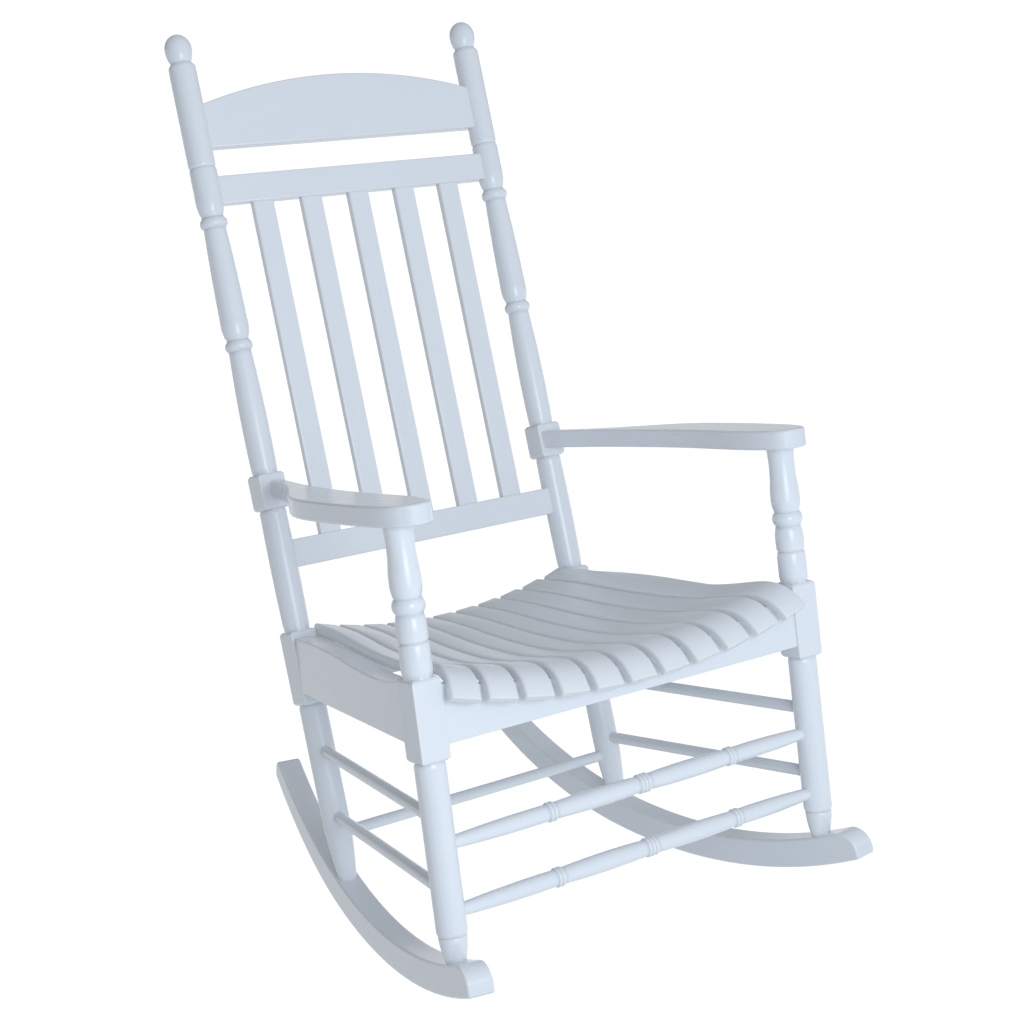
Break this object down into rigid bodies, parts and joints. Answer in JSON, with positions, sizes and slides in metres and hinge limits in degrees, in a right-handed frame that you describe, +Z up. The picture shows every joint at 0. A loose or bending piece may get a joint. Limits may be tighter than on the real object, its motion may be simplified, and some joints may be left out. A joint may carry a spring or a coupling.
{
  "type": "rocking chair",
  "caption": "High-backed wooden armchair on two bent rockers, with a dished slatted seat, a ladder back with upright slats and turned posts, for sitting and gently rocking.",
  "frame": {"origin": "middle of the chair's footprint box on the floor, at the height where the rockers touch", "axes": "+Z up, -Y the way the sitter faces, +X across the chair; the chair stands tilted as it rests on level ground"},
  "size_m": [0.6444, 0.9091, 1.1441],
  "materials": {
    "painted_wood": "satin white enamel paint over turned and sawn hardwood"
  },
  "bodies": {
    "root": {"back_rung": "painted_wood", "back_slat_1": "painted_wood", "back_slat_2": "painted_wood", "back_slat_3": "painted_wood", "back_slat_4": "painted_wood", "back_slat_5": "painted_wood", "crest_rail": "painted_wood", "front_rung_lower": "painted_wood", "front_rung_upper": "painted_wood", "left_arm": "painted_wood", "left_back_post": "painted_wood", "left_front_leg": "painted_wood", "left_rocker": "painted_wood", "left_rung_lower": "painted_wood", "left_rung_upper": "painted_wood", "left_seat_rail": "painted_wood", "lower_back_rail": "painted_wood", "right_arm": "painted_wood", "right_back_post": "painted_wood", "right_front_leg": "painted_wood", "right_rocker": "painted_wood", "right_rung_lower": "painted_wood", "right_rung_upper": "painted_wood", "right_seat_rail": "painted_wood", "seat_back_rail": "painted_wood", "seat_front_rail": "painted_wood", "seat_slat_01": "painted_wood", "seat_slat_02": "painted_wood", "seat_slat_03": "painted_wood", "seat_slat_04": "painted_wood", "seat_slat_05": "painted_wood", "seat_slat_06": "painted_wood", "seat_slat_07": "painted_wood", "seat_slat_08": "painted_wood", "seat_slat_09": "painted_wood", "seat_slat_10": "painted_wood", "seat_slat_11": "painted_wood", "upper_back_rail": "painted_wood"}
  },
  "joints": []
}
